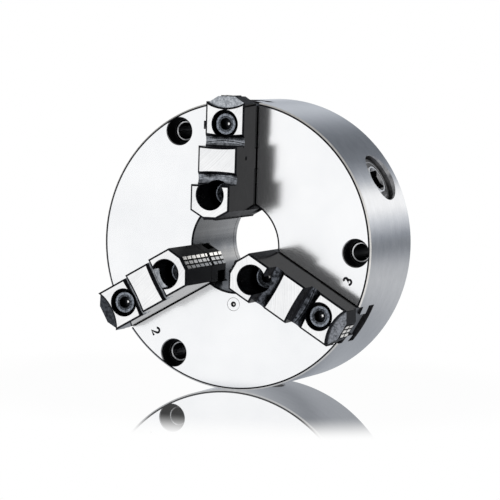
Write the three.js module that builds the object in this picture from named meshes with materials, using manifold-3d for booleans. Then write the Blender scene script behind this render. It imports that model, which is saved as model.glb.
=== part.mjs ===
// Three-jaw self-centring scroll chuck with two-piece reversible jaws.
// Millimetres. The chuck stands on its rim: axis along Y, front face towards -Y, +Z up.
// The origin is the centre of the rear mounting face.
// Angles are counter-clockwise from +X towards +Z, seen from the front of the chuck.
import * as THREE from 'three';
import { mergeVertices } from 'three/addons/utils/BufferGeometryUtils.js';
import Module from 'manifold-3d';

const wasm = await Module();
wasm.setup();

// ---------------------------------------------------------------- driving dimensions
const GAP = 0.3;                 // running gap between neighbours

const BODY_R = 56;               // rim radius
const LENGTH = 44;               // front face to rear face
const BORE_R = 17.85;            // centre bore
const RIM_CHAMFER = 0.9;
const BORE_CHAMFER = 0.5;
const FRONT_WALL = 11.3;         // face to scroll chamber
const HUB_R = 25.5;              // hub that carries the scroll plate
const CHAMBER_R = 44.6;          // scroll chamber
const COVER_SEAT = 38.2;         // depth of the shoulder that takes the cover
const COVER_SEAT_R = 45.6;

const MOUNT_R = 49.8;            // mounting hole circle
const MOUNT_ANGLES = [0, 120, 240];
const MOUNT_HOLE_R = 3.3;
const MOUNT_BORE_R = 5.25;       // counterbore
const MOUNT_BORE_DEPTH = 6;

const JAW_ANGLES = [90, 210, 330];
const JAW_HALF = 8.0;            // half width of the jaws
const SLOT_DEPTH = 15.5;
const TONGUE_TOP = 4.2;          // body tongue that holds the master jaw down
const TONGUE_BOTTOM = 10;
const NECK_HALF = 4.6;           // half width of the master jaw between the tongues

const NOSE_R = 11.3;             // top jaw, inner end
const NOSE_HALF = 2.06;
const NOSE_SHOULDER_R = 14.6;
const TAIL_R = 58;               // top jaw, outer end
const TAIL_HALF = 2.8;
const TAIL_SHOULDER_R = 54.8;
const STEP = {                   // top jaw steps: radius where each one ends, height above the face
  inner: { end: 24.4, height: 24.8 },
  reliefOne: { end: 28.2, height: 17.9 },
  middle: { end: 38.8, height: 18.9 },
  reliefTwo: { end: 42.8, height: 11.9 },
  outer: { height: 12.9 },
  ledge: { height: 11.7 },
};
const LEDGE_ARC_R = 16;          // hollow outer edge of the outer step
const LEDGE_ARC_LOW = 53.3;
const SEAM = 2;                  // underside of the top jaw above the face
const KEY_IN = 30.15;            // cross key under the top jaw
const KEY_OUT = 37.85;
const MASTER_OUT = 54.8;
const MASTER_FOOT = 11.2;        // depth where the jaw teeth begin
const TOOTH_HEIGHT = 3;

const SCREWS = [                 // jaw screws: radius on the jaw, seat height, counterbore radius
  { name: 'inner', r: 20.6, seat: 4.8, bore: 5.5 },
  { name: 'outer', r: 47.1, seat: 6.9, bore: 5.2 },
];
const SCREW_HEAD_R = 4.25;
const SCREW_HEAD = 5;
const SCREW_SHANK_R = 2.5;
const SCREW_END = -6.5;
const SCREW_HEX = 4;             // across flats

const PITCH = 5;                 // scroll thread
const THREAD_HALF = 1.15;
const THREAD_START_R = 24;       // thread centre line at 0 degrees, first turn
const THREAD_TURNS = 4.5;
const THREAD_IN = 26.2;
const THREAD_OUT = 44.1;
const THREAD_FRONT = 11.6;
const THREAD_ROOT = 14.6;
const SCROLL_OUT = 44.3;
const JAW_TOOTH_HALF = 1;

const PINION_ANGLES = [30, 150, 270];
const PINION_DEPTH = 28.4;       // pinion axis behind the front face
const PINION_TEETH = 8;
const SCROLL_TEETH = 48;
const MESH_R = 39;               // middle of the tooth width
const PINION_PITCH_R = MESH_R * PINION_TEETH / SCROLL_TEETH;
const MODULE = 2 * PINION_PITCH_R / PINION_TEETH;
const PRESSURE = THREE.MathUtils.degToRad(25);
const BACKLASH = 0.1;            // taken off each half tooth
const PINION_ADDENDUM = 0.85 * MODULE;
const SCROLL_ADDENDUM = 0.7 * MODULE;
const TEETH_IN = 34;
const TEETH_OUT = 43.6;
const PINION_R = 9.2;
const PINION_BORE_R = PINION_R + GAP;
const PINION_END = 53.8;
const SPIGOT_R = 3;
const SPIGOT_END = 22;
const SQUARE = 7.4;              // key socket across flats
const SQUARE_DEPTH = 11;
const PIN_R = 49.5;              // pinion screws: circle radius

const COVER_FRONT = COVER_SEAT + GAP;
const COVER_R = COVER_SEAT_R - GAP;
const REGISTER_R = 40;
const REGISTER_FLOOR = 42;
const COVER_SCREW_R = 21.6;
const COVER_SCREW_ANGLES = [0, 60, 120, 180, 240, 300];

const OILER_R = 22.6;
const OILER_ANGLE = 270;
const OILER_BODY_R = 2.5;
const OILER_LENGTH = 6.4;

const FULL = 64;                 // segments on the big circles
const SPIRAL_STEPS = 40;         // thread segments per turn

// ---------------------------------------------------------------- helpers
const deg = THREE.MathUtils.degToRad;

function solid(geometry) {
  const plain = geometry.index ? geometry.toNonIndexed() : geometry.clone();
  for (const name of Object.keys(plain.attributes)) if (name !== 'position') plain.deleteAttribute(name);
  const merged = mergeVertices(plain, 1e-5);
  const position = merged.attributes.position.array;
  const index = Uint32Array.from(merged.index.array);
  let volume = 0;
  const corner = [new THREE.Vector3(), new THREE.Vector3(), new THREE.Vector3()];
  for (let i = 0; i < index.length; i += 3) {
    corner.forEach((c, k) => c.fromArray(position, 3 * index[i + k]));
    volume += corner[0].dot(corner[1].clone().cross(corner[2]));
  }
  if (volume < 0) {
    for (let i = 0; i < index.length; i += 3) [index[i], index[i + 1]] = [index[i + 1], index[i]];
  }
  const mesh = new wasm.Mesh({ numProp: 3, vertProperties: Float32Array.from(position), triVerts: index });
  return new wasm.Manifold(mesh);
}

function geometryOf(manifold) {
  const mesh = manifold.getMesh();
  const positions = new Float32Array(mesh.triVerts.length * 3);
  mesh.triVerts.forEach((v, i) => {
    for (let k = 0; k < 3; k += 1) positions[3 * i + k] = mesh.vertProperties[v * mesh.numProp + k];
  });
  const geometry = new THREE.BufferGeometry();
  geometry.setAttribute('position', new THREE.BufferAttribute(positions, 3));
  geometry.computeVertexNormals();
  return geometry;
}

// closed outline of [x, y] pairs pushed along local z
function prismGeometry(outline, z0, z1) {
  const shape = new THREE.Shape(outline.map(([x, y]) => new THREE.Vector2(x, y)));
  const geometry = new THREE.ExtrudeGeometry(shape, { depth: z1 - z0, bevelEnabled: false, curveSegments: 1 });
  return geometry.translate(0, 0, z0);
}

const prism = (outline, z0, z1, frame) => placed(prismGeometry(outline, z0, z1), frame);

const placed = (geometry, frame) => solid(frame ? geometry.applyMatrix4(frame) : geometry);

// round rod or cone frustum along local z, centred on [x, y]
function rod(radius, z0, z1, frame, { x = 0, y = 0, endRadius = radius, segments = 24 } = {}) {
  const geometry = new THREE.CylinderGeometry(endRadius, radius, z1 - z0, segments);
  geometry.rotateX(Math.PI / 2).translate(x, y, (z0 + z1) / 2);
  return placed(geometry, frame);
}

// ring of [radius, depth] pairs turned about the chuck axis
function turned(profile, segments = FULL) {
  const points = profile.map(([r, depth]) => new THREE.Vector2(r, depth - LENGTH));
  points.push(points[0].clone());
  return solid(new THREE.LatheGeometry(points, segments, Math.PI / segments));
}

// local x outwards along the radius, y sideways, z out of the front face (zero on the face)
function faceFrame(angle) {
  const a = deg(angle);
  const frame = new THREE.Matrix4().makeBasis(
    new THREE.Vector3(Math.cos(a), 0, Math.sin(a)),
    new THREE.Vector3(-Math.sin(a), 0, Math.cos(a)),
    new THREE.Vector3(0, -1, 0),
  );
  return frame.setPosition(0, -LENGTH, 0);
}

// local z outwards along the pinion axis, y towards the front face, x sideways
function pinionFrame(angle) {
  const a = deg(angle);
  const frame = new THREE.Matrix4().makeBasis(
    new THREE.Vector3(-Math.sin(a), 0, Math.cos(a)),
    new THREE.Vector3(0, -1, 0),
    new THREE.Vector3(Math.cos(a), 0, Math.sin(a)),
  );
  return frame.setPosition(0, PINION_DEPTH - LENGTH, 0);
}

// the same as faceFrame, seen from the rear: z runs out of the rear face
function rearFrame(angle, r) {
  const a = deg(angle);
  const frame = new THREE.Matrix4().makeBasis(
    new THREE.Vector3(Math.cos(a), 0, Math.sin(a)),
    new THREE.Vector3(Math.sin(a), 0, -Math.cos(a)),
    new THREE.Vector3(0, 1, 0),
  );
  return frame.setPosition(r * Math.cos(a), 0, r * Math.sin(a));
}

const mirrored = (half) => [...half, ...[...half].reverse().map(([x, y]) => [x, -y])];
const cutAll = (base, cutters) => cutters.reduce((result, cutter) => result.subtract(cutter), base);
const joinAll = (parts) => parts.reduce((result, part) => result.add(part));
const box = (x0, x1, y0, y1) => [[x0, y0], [x1, y0], [x1, y1], [x0, y1]];
const polygon = (radius, sides, turn = 0) => Array.from({ length: sides }, (_, i) => {
  const a = turn + 2 * Math.PI * i / sides;
  return [radius * Math.cos(a), radius * Math.sin(a)];
});

const group = new THREE.Group();
group.name = 'lathe_chuck';

const FINISH = {
  steel: { color: 0xb4b8bc, roughness: 0.35, metalness: 0.95 },
  cover: { color: 0xa2a6aa, roughness: 0.42, metalness: 0.95 },
  plate: { color: 0x8f9399, roughness: 0.4, metalness: 0.95 },
  pinion: { color: 0x777a7d, roughness: 0.4, metalness: 0.95 },
  ground: { color: 0xc8ccd0, roughness: 0.3, metalness: 0.9 },
  dark: { color: 0x4a4d52, roughness: 0.4, metalness: 0.9 },
  black: { color: 0x1d1f22, roughness: 0.45, metalness: 0.8 },
  bright: { color: 0xe0e2e4, roughness: 0.15, metalness: 1 },
};

function addPart(name, manifold, finish, frame) {
  const geometry = geometryOf(manifold);
  if (frame) geometry.applyMatrix4(frame);
  const mesh = new THREE.Mesh(geometry, new THREE.MeshStandardMaterial(FINISH[finish]));
  mesh.name = name;
  group.add(mesh);
}

// ---------------------------------------------------------------- body
function slotCutter(angle) {
  const wide = JAW_HALF + GAP;
  const narrow = NECK_HALF + GAP;
  const frame = faceFrame(angle);
  const depths = [[wide, -TONGUE_TOP, 1], [narrow, -TONGUE_BOTTOM - 0.1, -TONGUE_TOP + 0.1],
    [wide, -SLOT_DEPTH, -TONGUE_BOTTOM]];
  return joinAll(depths.map(([half, z0, z1]) => prism(box(8, BODY_R + 4, -half, half), z0, z1, frame)));
}

function bodySolid() {
  let body = turned([
    [BORE_R, BORE_CHAMFER], [BORE_R + BORE_CHAMFER, 0], [BODY_R - RIM_CHAMFER, 0], [BODY_R, RIM_CHAMFER],
    [BODY_R, LENGTH - RIM_CHAMFER], [BODY_R - RIM_CHAMFER, LENGTH], [COVER_SEAT_R, LENGTH],
    [COVER_SEAT_R, COVER_SEAT], [CHAMBER_R, COVER_SEAT], [CHAMBER_R, FRONT_WALL], [HUB_R, FRONT_WALL],
    [HUB_R, COVER_SEAT], [BORE_R, COVER_SEAT],
  ]);
  body = cutAll(body, JAW_ANGLES.map(slotCutter));
  for (const angle of MOUNT_ANGLES) {
    const frame = faceFrame(angle);
    body = cutAll(body, [
      rod(MOUNT_BORE_R, -MOUNT_BORE_DEPTH, 1, frame, { x: MOUNT_R }),
      rod(MOUNT_HOLE_R, -LENGTH - 1, -MOUNT_BORE_DEPTH + 1, frame, { x: MOUNT_R, segments: 16 }),
    ]);
  }
  for (const angle of PINION_ANGLES) {
    const frame = pinionFrame(angle);
    const rear = rearFrame(angle, PIN_R);
    body = cutAll(body, [
      rod(PINION_BORE_R, CHAMBER_R - 3, BODY_R + 2, frame, { segments: 32 }),
      rod(PINION_BORE_R - 0.5, BODY_R - 1.7, BODY_R + 1.3, frame,
        { endRadius: PINION_BORE_R + 2.5, segments: 32 }),
      rod(SPIGOT_R + GAP, SPIGOT_END - 0.6, HUB_R + 2, frame, { segments: 12 }),
      rod(2 + GAP, COVER_SEAT - LENGTH, 1, rear, { segments: 12 }),
      rod(1.2 + GAP, COVER_SEAT - LENGTH - 2, COVER_SEAT - LENGTH + 1, rear, { segments: 8 }),
    ]);
  }
  const oiler = faceFrame(OILER_ANGLE);
  const screwHoles = COVER_SCREW_ANGLES.map((angle) =>
    rod(1.45 + GAP, -10, 1, rearFrame(angle, COVER_SCREW_R), { segments: 8 }));
  return cutAll(body, [
    rod(OILER_BODY_R + GAP, -OILER_LENGTH - GAP, 1, oiler, { x: OILER_R, segments: 16 }),
    rod(2.2, -FRONT_WALL - 4, -OILER_LENGTH, oiler, { x: OILER_R + 1.3, segments: 10 }),
    ...screwHoles,
  ]);
}

// ---------------------------------------------------------------- rear cover
function coverSolid() {
  let cover = turned([
    [BORE_R, COVER_FRONT], [COVER_R, COVER_FRONT], [COVER_R, LENGTH - 0.4], [COVER_R - 0.4, LENGTH],
    [REGISTER_R, LENGTH], [REGISTER_R, REGISTER_FLOOR], [BORE_R + 0.6, REGISTER_FLOOR],
    [BORE_R, REGISTER_FLOOR - 0.6],
  ], 48);
  for (const angle of COVER_SCREW_ANGLES) {
    const frame = rearFrame(angle, COVER_SCREW_R);
    cover = cutAll(cover, [
      rod(1.45 + GAP, -10, 1, frame, { segments: 8 }),
      rod(1.45 + GAP, -3.9, -2, frame, { endRadius: 3.2, segments: 16 }),
      rod(3.2, -2, 1, frame, { segments: 16 }),
    ]);
  }
  return cover;
}

function coverScrewSolid() {
  const screw = joinAll([
    rod(1.45, -9, -3, null, { segments: 8 }),
    rod(1.45, -3.6, -2.3, null, { endRadius: 2.85, segments: 16 }),
  ]);
  return screw.subtract(prism(polygon(1.15, 6), -3.3, 1));
}

// ---------------------------------------------------------------- scroll plate
const spiralR = (theta) => THREAD_START_R + PITCH * theta / (2 * Math.PI);

function threadOutline() {
  const steps = Math.round(THREAD_TURNS * SPIRAL_STEPS);
  const side = (offset) => Array.from({ length: steps + 1 }, (_, i) => {
    const theta = 2 * Math.PI * i / SPIRAL_STEPS;
    const r = spiralR(theta) + offset;
    return [r * Math.cos(theta), r * Math.sin(theta)];
  });
  return [...side(THREAD_HALF), ...side(-THREAD_HALF).reverse()];
}

// one bevel tooth whose faces all run to the point where the axes cross
function crownTooth(angle) {
  const half = Math.PI * MODULE / 4 - BACKLASH;
  const tipY = PINION_PITCH_R - SCROLL_ADDENDUM;
  const rootY = PINION_PITCH_R + PINION_ADDENDUM + 0.9;
  const widthAt = (y) => half + (y - PINION_PITCH_R) * Math.tan(PRESSURE);
  const outline = [[-widthAt(rootY), rootY], [-widthAt(tipY), tipY], [widthAt(tipY), tipY],
    [widthAt(rootY), rootY]];
  return placed(tapered(prismGeometry(outline, TEETH_IN - 0.5, SCROLL_OUT)), pinionFrame(angle));
}

// shrinks every section towards the apex at local z = 0
function tapered(geometry) {
  const position = geometry.attributes.position;
  for (let i = 0; i < position.count; i += 1) {
    const scale = position.getZ(i) / MESH_R;
    position.setXY(i, position.getX(i) * scale, position.getY(i) * scale);
  }
  return geometry;
}

function scrollSolid() {
  const rootSlope = (PINION_PITCH_R + PINION_ADDENDUM + 0.35) / MESH_R;
  const rootDepth = (r) => PINION_DEPTH - rootSlope * r;
  const plate = turned([
    [HUB_R + GAP, THREAD_ROOT], [SCROLL_OUT, THREAD_ROOT], [SCROLL_OUT, rootDepth(SCROLL_OUT)],
    [TEETH_IN - 0.5, rootDepth(TEETH_IN - 0.5)], [TEETH_IN - 0.5, rootDepth(TEETH_IN) + 1.5],
    [HUB_R + GAP, rootDepth(TEETH_IN) + 1.5],
  ], 48);
  const ring = turned([[THREAD_IN, THREAD_FRONT], [THREAD_OUT, THREAD_FRONT],
    [THREAD_OUT, THREAD_ROOT + 0.5], [THREAD_IN, THREAD_ROOT + 0.5]], 48);
  const thread = prism(threadOutline(), -THREAD_ROOT - 0.4, -THREAD_FRONT, faceFrame(0)).intersect(ring);
  const teeth = Array.from({ length: SCROLL_TEETH }, (_, i) =>
    crownTooth(PINION_ANGLES[0] + 360 * i / SCROLL_TEETH));
  const rim = turned([[TEETH_IN - 2, THREAD_ROOT + 1], [SCROLL_OUT, THREAD_ROOT + 1],
    [SCROLL_OUT, PINION_DEPTH], [TEETH_IN - 2, PINION_DEPTH]], 48);
  return joinAll([plate, thread, joinAll(teeth).intersect(rim)]);
}

// ---------------------------------------------------------------- pinions
const involute = (a) => Math.tan(a) - a;

function pinionOutline() {
  const base = PINION_PITCH_R * Math.cos(PRESSURE);
  const tip = PINION_PITCH_R + PINION_ADDENDUM;
  const root = PINION_PITCH_R - SCROLL_ADDENDUM - GAP;
  const halfPitch = Math.PI / 2 / PINION_TEETH - BACKLASH / PINION_PITCH_R;
  const halfAngle = (r) => halfPitch + involute(PRESSURE) - involute(Math.acos(Math.min(1, base / r)));
  const flank = [[root, halfAngle(base)], ...[base, (base + tip) / 2 - 0.4, (base + tip) / 2 + 0.4, tip]
    .map((r) => [r, halfAngle(r)])];
  const points = [];
  for (let tooth = 0; tooth < PINION_TEETH; tooth += 1) {
    const middle = Math.PI / 2 + (tooth + 0.5) * 2 * Math.PI / PINION_TEETH;
    for (const [r, half] of flank) points.push([r, middle - half]);
    for (const [r, half] of [...flank].reverse()) points.push([r, middle + half]);
  }
  return points.map(([r, a]) => [r * Math.cos(a), r * Math.sin(a)]);
}

function pinionSolid() {
  const gear = placed(tapered(prismGeometry(pinionOutline(), TEETH_IN, TEETH_OUT)));
  const shaft = joinAll([
    rod(SPIGOT_R, SPIGOT_END, TEETH_IN + 1, null, { segments: 12 }),
    gear,
    rod(5, TEETH_OUT - 1, CHAMBER_R + 1.3, null, { segments: 16 }),
    rod(PINION_R, CHAMBER_R + 0.3, PIN_R - 1.5, null, { segments: 28 }),
    rod(PINION_R - 1.3, PIN_R - 2, PIN_R + 2, null, { segments: 24 }),
    rod(PINION_R, PIN_R + 1.5, PINION_END - 0.5, null, { segments: 28 }),
    rod(PINION_R, PINION_END - 0.5, PINION_END, null, { endRadius: PINION_R - 0.5, segments: 28 }),
  ]);
  const half = SQUARE / 2;
  return cutAll(shaft, [
    prism(box(-half, half, -half, half), PINION_END - SQUARE_DEPTH, PINION_END + 1),
    rod(4.6, PINION_END - 1.1, PINION_END + 0.1, null, { endRadius: 5.7, segments: 24 }),
  ]);
}

function pinionScrewSolid() {
  const screw = joinAll([
    rod(2, COVER_FRONT - LENGTH, -0.3, null, { segments: 12 }),
    rod(1.2, PINION_DEPTH + PINION_R - 0.9 - LENGTH, COVER_FRONT - LENGTH + 1, null, { segments: 8 }),
  ]);
  return screw.subtract(prism(polygon(1.15, 6), -2.6, 1));
}

// ---------------------------------------------------------------- jaws
// teeth are thinner at their ends, so the same tooth suits every turn of the spiral
function jawToothOutline(r) {
  const outerCurve = THREAD_IN + 1;
  const innerCurve = THREAD_OUT - 1;
  const slope = PITCH / (2 * Math.PI) / 33;
  const arc = (radius, w) => Math.sqrt(radius * radius - w * w) - radius + slope * w;
  const stations = Array.from({ length: 5 }, (_, i) => JAW_HALF * (i / 2 - 1));
  return [
    ...stations.map((w) => [r + JAW_TOOTH_HALF + arc(outerCurve, w), w]),
    ...[...stations].reverse().map((w) => [r - JAW_TOOTH_HALF + arc(innerCurve, w), w]),
  ];
}

function masterJawSolid(angle) {
  const outline = mirrored([[NOSE_R, NOSE_HALF], [NOSE_SHOULDER_R, JAW_HALF],
    [MASTER_OUT - 0.6, JAW_HALF], [MASTER_OUT, JAW_HALF - 0.6]]);
  const top = SEAM - GAP;
  const full = prism(outline, -MASTER_FOOT, top);
  const sides = [-1, 1].map((side) => prism(
    box(NOSE_R - 2, MASTER_OUT + 2, ...[NECK_HALF * side, 12 * side].sort((a, b) => a - b)),
    -TONGUE_BOTTOM - GAP, -TONGUE_TOP + GAP,
  ));
  const keyway = prism(box(KEY_IN - GAP, KEY_OUT + GAP, -9, 9), 0, 5);
  const holes = SCREWS.map(({ r }) =>
    rod(SCREW_SHANK_R + GAP, SCREW_END - 0.6, 5, null, { x: r, segments: 12 }));
  const firstTooth = spiralR(deg(angle)) + PITCH / 2;
  const teeth = [];
  for (let r = firstTooth - 3 * PITCH; r < MASTER_OUT - 1.5; r += PITCH) {
    if (r > NOSE_SHOULDER_R + 2.2) {
      teeth.push(prism(jawToothOutline(r), -MASTER_FOOT - TOOTH_HEIGHT, -MASTER_FOOT + 0.3));
    }
  }
  return joinAll([cutAll(full, [...sides, keyway, ...holes]), ...teeth]);
}

function topJawSolid() {
  const outline = mirrored([[NOSE_R, NOSE_HALF], [NOSE_SHOULDER_R, JAW_HALF],
    [TAIL_SHOULDER_R, JAW_HALF], [TAIL_R, TAIL_HALF]]);
  const high = STEP.inner.height + 1;
  const over = (r0, r1, z) => prism(box(r0, r1, -9, 9), z, high);
  const ledge = rod(LEDGE_ARC_R, STEP.ledge.height, high, null,
    { x: LEDGE_ARC_LOW + LEDGE_ARC_R, segments: 64 });
  const screws = SCREWS.flatMap(({ r, seat, bore }) => [
    rod(bore, seat, high, null, { x: r, segments: 28 }),
    rod(SCREW_SHANK_R + GAP, 0, seat + 1, null, { x: r, segments: 12 }),
  ]);
  const keySides = [[0, KEY_IN], [KEY_OUT, 70]].map(([r0, r1]) => prism(box(r0, r1, -9, 9), -1, SEAM));
  return cutAll(prism(outline, GAP, STEP.inner.height), [
    over(STEP.inner.end, STEP.reliefOne.end, STEP.reliefOne.height),
    over(STEP.reliefOne.end - 0.01, STEP.middle.end, STEP.middle.height),
    over(STEP.middle.end - 0.01, STEP.reliefTwo.end, STEP.reliefTwo.height),
    over(STEP.reliefTwo.end - 0.01, TAIL_R + 2, STEP.outer.height),
    ledge, ...screws, ...keySides,
  ]);
}

function jawScrewSolid({ r, seat }) {
  const low = seat + GAP;
  const screw = joinAll([
    rod(SCREW_SHANK_R, SCREW_END, low + 1, null, { x: r, segments: 12 }),
    rod(SCREW_HEAD_R, low, seat + SCREW_HEAD - 0.5, null, { x: r, segments: 20 }),
    rod(SCREW_HEAD_R, seat + SCREW_HEAD - 0.5, seat + SCREW_HEAD, null,
      { x: r, endRadius: SCREW_HEAD_R - 0.5, segments: 20 }),
  ]);
  const hexagon = polygon(SCREW_HEX / Math.sqrt(3), 6).map(([x, y]) => [x + r, y]);
  return screw.subtract(prism(hexagon, seat + SCREW_HEAD - 2.8, seat + SCREW_HEAD + 1));
}

// ---------------------------------------------------------------- oiler
function oilerBodySolid() {
  const spot = { x: OILER_R, segments: 16 };
  return cutAll(rod(OILER_BODY_R, -OILER_LENGTH, 0, null, spot), [
    rod(1.5, -OILER_LENGTH - 1, -1.1, null, { x: OILER_R, segments: 10 }),
    rod(0.85, -2, 0.5, null, { x: OILER_R, segments: 10 }),
    rod(0.85, -0.4, 0.1, null, { x: OILER_R, endRadius: 1.4, segments: 10 }),
  ]);
}

function oilerBallSolid() {
  const ball = new THREE.SphereGeometry(1.15, 12, 8);
  return solid(ball.translate(OILER_R, 0, -2.0));
}

// open coil under the ball
class Coil extends THREE.Curve {
  getPoint(t, target = new THREE.Vector3()) {
    const a = 3 * 2 * Math.PI * t;
    return target.set(OILER_R + 0.95 * Math.cos(a), 0.95 * Math.sin(a), -3.6 - 2.4 * t);
  }
}

function oilerSpringSolid() {
  const wire = new THREE.Shape(polygon(0.2, 4).map(([x, y]) => new THREE.Vector2(x, y)));
  const geometry = new THREE.ExtrudeGeometry(wire, { steps: 24, bevelEnabled: false, extrudePath: new Coil() });
  return solid(geometry);
}

// ---------------------------------------------------------------- assembly
addPart('chuck_body', bodySolid(), 'steel');
addPart('rear_cover', coverSolid(), 'cover');
COVER_SCREW_ANGLES.forEach((angle, i) => {
  addPart(`cover_screw_${i + 1}`, coverScrewSolid(), 'black', rearFrame(angle, COVER_SCREW_R));
});
addPart('scroll_plate', scrollSolid(), 'plate');
PINION_ANGLES.forEach((angle, i) => {
  addPart(`pinion_${i + 1}`, pinionSolid(), 'pinion', pinionFrame(angle));
  addPart(`pinion_screw_${i + 1}`, pinionScrewSolid(), 'black', rearFrame(angle, PIN_R));
});
JAW_ANGLES.forEach((angle, i) => {
  const frame = faceFrame(angle);
  addPart(`master_jaw_${i + 1}`, masterJawSolid(angle), 'dark', frame);
  addPart(`top_jaw_${i + 1}`, topJawSolid(), 'ground', frame);
  for (const screw of SCREWS) addPart(`jaw_screw_${screw.name}_${i + 1}`, jawScrewSolid(screw), 'black', frame);
});
const oilerFrame = faceFrame(OILER_ANGLE);
addPart('oiler_body', oilerBodySolid(), 'bright', oilerFrame);
addPart('oiler_ball', oilerBallSolid(), 'bright', oilerFrame);
addPart('oiler_spring', oilerSpringSolid(), 'plate', oilerFrame);

export default group;
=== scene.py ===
import math

import bmesh
import bpy
from mathutils import Matrix, Vector


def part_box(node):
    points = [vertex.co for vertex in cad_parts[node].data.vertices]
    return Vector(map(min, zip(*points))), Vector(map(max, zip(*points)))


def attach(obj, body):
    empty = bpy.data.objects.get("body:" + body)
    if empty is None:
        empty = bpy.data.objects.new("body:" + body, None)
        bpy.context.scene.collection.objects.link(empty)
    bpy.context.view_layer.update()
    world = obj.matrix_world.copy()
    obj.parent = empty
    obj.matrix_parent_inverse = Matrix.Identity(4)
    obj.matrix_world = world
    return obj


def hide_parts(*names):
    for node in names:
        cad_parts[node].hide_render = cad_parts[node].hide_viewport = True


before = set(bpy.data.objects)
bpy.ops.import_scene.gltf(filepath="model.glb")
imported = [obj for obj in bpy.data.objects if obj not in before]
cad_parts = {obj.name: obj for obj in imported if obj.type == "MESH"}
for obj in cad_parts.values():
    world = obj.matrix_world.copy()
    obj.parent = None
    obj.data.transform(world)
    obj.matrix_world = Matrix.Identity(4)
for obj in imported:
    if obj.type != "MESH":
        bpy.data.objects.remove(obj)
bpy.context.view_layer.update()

# ------------------------------------------------------------------ sizes, millimetres
body_low, body_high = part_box("chuck_body")
BODY_R = body_high.x * 1000
LENGTH = (body_high.y - body_low.y) * 1000
# body: radii, then depths behind the front face
BORE_R = 17.85
HUB_R = 25.5
CHAMBER_R = 44.6
COVER_RECESS_R = 45.6
FRONT_WALL = 11.3
COVER_SEAT = 38.2
SLOT_FLOOR = 15.5
GAP = 0.3
# places round the axis in degrees, and circles that holes stand on
JAW_ANGLES = (90, 210, 330)
MOUNT_ANGLES = (0, 120, 240)
PINION_ANGLES = (30, 150, 270)
OILER_ANGLE = 270
MOUNT_R = 49.8
MOUNT_SEAT = 6
PIN_SCREW_R = 49.5
COVER_SCREW_R = 21.6
PINION_BORE_R = 9.5
# jaws: half widths and distances from the axis
JAW_HALF = 8.0
NOSE_R, NOSE_HALF, NOSE_SHOULDER = 11.3, 2.06, 14.6
TAIL_R, TAIL_HALF, TAIL_SHOULDER = 58.0, 2.8, 54.8
NOSE_SLOPE = (JAW_HALF - NOSE_HALF) / (NOSE_SHOULDER - NOSE_R)
NOSE_TOOTH, TAIL_TOOTH, TOOTH_TOP = 0.35, 0.45, 24.6
# the three steps of a top jaw and the roughly turned ledges between them, above the face
STEP_INNER, STEP_MIDDLE, STEP_OUTER = 24.8, 18.9, 12.9
LEDGE_INNER, LEDGE_OUTER = 18.45, 12.45
SEAM = 2.0
KEY_START, KEY_END, KEY_PLAY = 30.0, 38.0, 0.15
NECK_HALF = 4.6
# jaw screws: name, distance from the axis, seat above the face
SCREWS = (("inner", 20.6, 4.8), ("outer", 47.1, 6.9))
(_, INNER_SCREW_R, INNER_SEAT), (_, OUTER_SCREW_R, OUTER_SEAT) = SCREWS
PUNCH_X, PUNCH_Z, PUNCH_R = 34.3, 10, 0.85
OILER_R = 22.6
# pinions: depth of their axis, outer end and teeth where they mesh with the scroll
PINION_DEPTH = 28.4
PINION_END = 53.8
TEETH, SCROLL_TEETH = 8, 48
MESH_R = 39.0
PITCH_R = MESH_R * TEETH / SCROLL_TEETH
SCROLL_PITCH = 5
# edges bent by less than this are drawn round, so shallow chamfers stay crisp
SHARP_DEGREES = 16.5
CHAMFER_WIDTH, CHAMFER_DEPTH = 0.74, 0.33


# ------------------------------------------------------------------ frames
def face_frame(angle):
    """x outwards, y sideways, z out of the front face; zero on the face."""
    c, s = math.cos(math.radians(angle)), math.sin(math.radians(angle))
    return Matrix(((c, -s, 0, 0), (0, 0, -1, -LENGTH), (s, c, 0, 0), (0, 0, 0, 1)))


def pinion_frame(angle):
    """z outwards along the pinion, y towards the front face."""
    c, s = math.cos(math.radians(angle)), math.sin(math.radians(angle))
    return Matrix(((-s, 0, c, 0), (0, -1, 0, PINION_DEPTH - LENGTH), (c, 0, s, 0), (0, 0, 0, 1)))


def rear_frame(angle, r):
    """z out of the rear face, at radius r."""
    c, s = math.cos(math.radians(angle)), math.sin(math.radians(angle))
    return Matrix(((c, s, 0, r * c), (0, 0, 1, 0), (s, -c, 0, r * s), (0, 0, 0, 1)))


HOME = face_frame(0)


# ------------------------------------------------------------------ mesh tools
def make(name, vertices, faces, move=None):
    """Object from plain lists, normals outwards, moved before it is stored."""
    mesh = bpy.data.meshes.new(name)
    bm = bmesh.new()
    points = [bm.verts.new(v) for v in vertices]
    for face in faces:
        bm.faces.new([points[i] for i in face])
    bmesh.ops.recalc_face_normals(bm, faces=bm.faces)
    if move is not None:
        bm.transform(move)
    bm.to_mesh(mesh)
    bm.free()
    obj = bpy.data.objects.new(name, mesh)
    bpy.context.scene.collection.objects.link(obj)
    return obj


def revolve(name, profile, segments, move=None):
    """Closed ring of (radius, z) pairs turned about z."""
    vertices, faces = [], []
    n = len(profile)
    for i in range(segments):
        a = 2 * math.pi * i / segments
        vertices += [(r * math.cos(a), r * math.sin(a), z) for r, z in profile]
    for i in range(segments):
        j = (i + 1) % segments
        for k in range(n):
            m = (k + 1) % n
            faces.append((i * n + k, j * n + k, j * n + m, i * n + m))
    return make(name, vertices, faces, move)


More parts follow.
